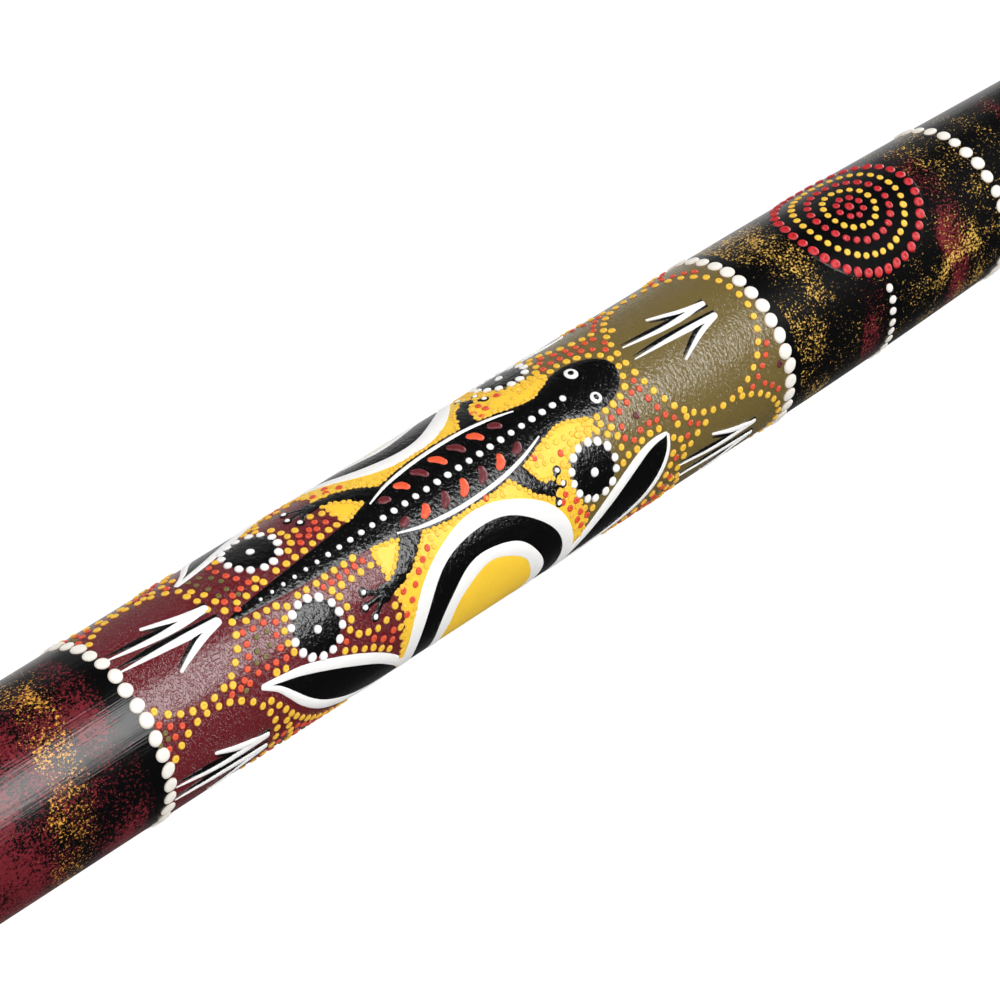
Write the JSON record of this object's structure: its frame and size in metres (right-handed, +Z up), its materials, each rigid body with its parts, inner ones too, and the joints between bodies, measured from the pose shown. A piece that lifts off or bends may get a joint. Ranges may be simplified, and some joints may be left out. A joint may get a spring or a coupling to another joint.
{
  "type": "didgeridoo",
  "caption": "Hand-painted hardwood didgeridoo: straight lacquered tube with a flared bell, an open bore and a beeswax mouthpiece ring.",
  "frame": {"origin": "middle of the bell's rim, on the surface that the tube stands on", "axes": "+Z runs up the bore from the bell to the mouthpiece; the glue line between the two halves of the tube lies in the plane X = 0"},
  "size_m": [0.09, 0.09, 1.2],
  "materials": {
    "lacquered_wood": "hardwood under black and coloured lacquer paint, satin gloss",
    "beeswax": "hand-moulded dark beeswax"
  },
  "bodies": {
    "root": {"tube_half_left": "lacquered_wood", "tube_half_right": "lacquered_wood", "wax_mouthpiece": "beeswax"}
  },
  "joints": []
}
